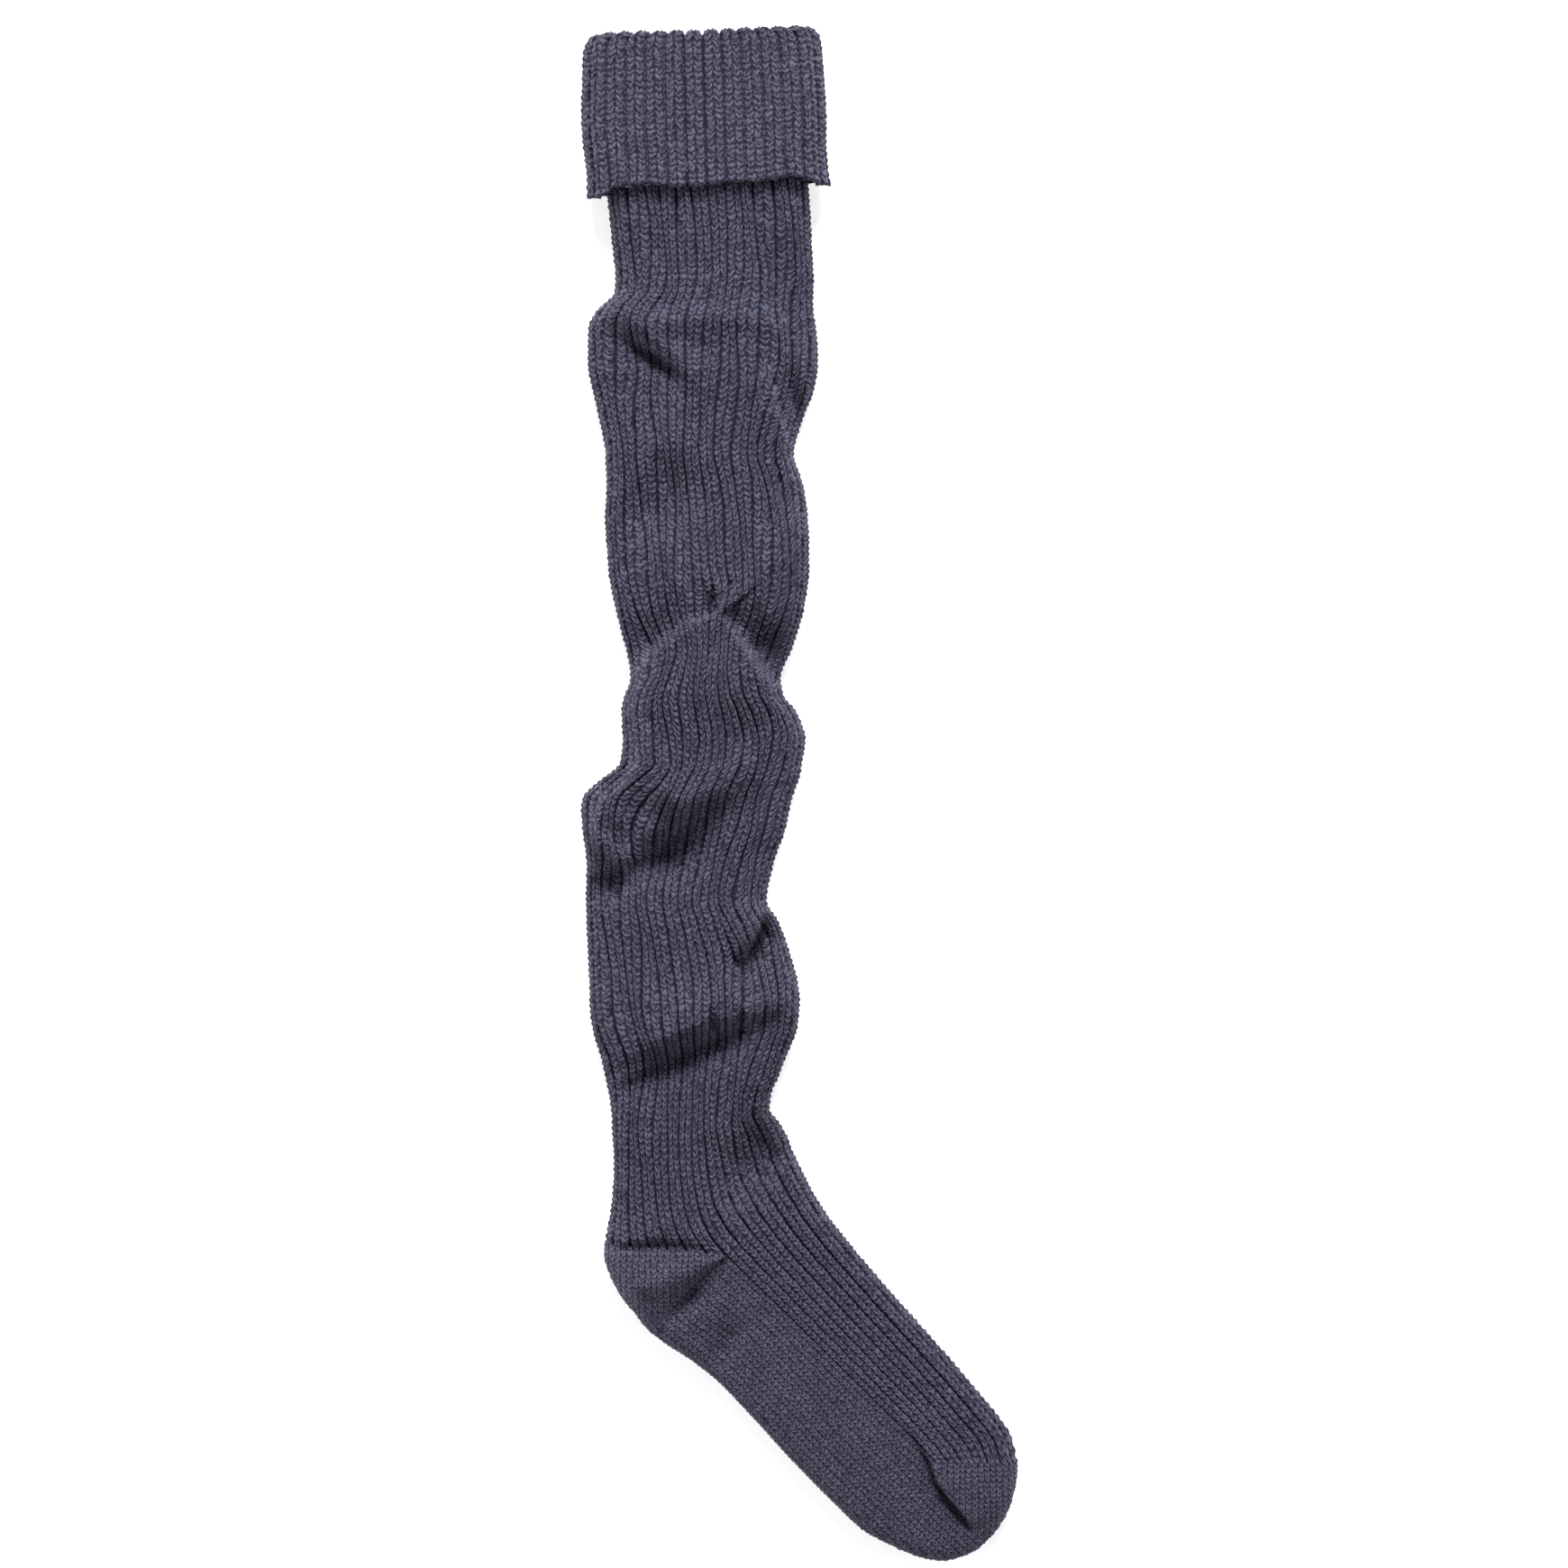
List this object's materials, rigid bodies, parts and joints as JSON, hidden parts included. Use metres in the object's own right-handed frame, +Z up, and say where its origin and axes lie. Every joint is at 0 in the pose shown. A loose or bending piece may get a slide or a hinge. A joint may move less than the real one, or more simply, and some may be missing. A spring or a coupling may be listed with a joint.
{
  "type": "over-the-knee sock",
  "caption": "Slate-blue ribbed knit over-the-knee sock lying flat on its side, slouched in soft folds, with its top turned down as a cuff and plain heel, sole and toe.",
  "frame": {"origin": "centre of the bounding box, on the surface that the sock lies on", "axes": "+Z up from the surface, +Y up the leg towards the mouth, +X to the side that the toe points to"},
  "size_m": [0.1996, 0.7002, 0.0309],
  "materials": {
    "leg_knit": "matt ribbed knit of soft wool-blend yarn",
    "turned_cuff_knit": "matt ribbed knit of soft wool-blend yarn",
    "heel_knit": "matt plain knit of soft wool-blend yarn",
    "foot_knit": "matt knit of soft wool-blend yarn, ribbed over the instep and plain on the sole",
    "toe_knit": "matt plain knit of soft wool-blend yarn"
  },
  "bodies": {
    "root": {"turned_cuff": "turned_cuff_knit", "leg": "leg_knit", "heel": "heel_knit", "foot": "foot_knit", "toe": "toe_knit"}
  },
  "joints": []
}
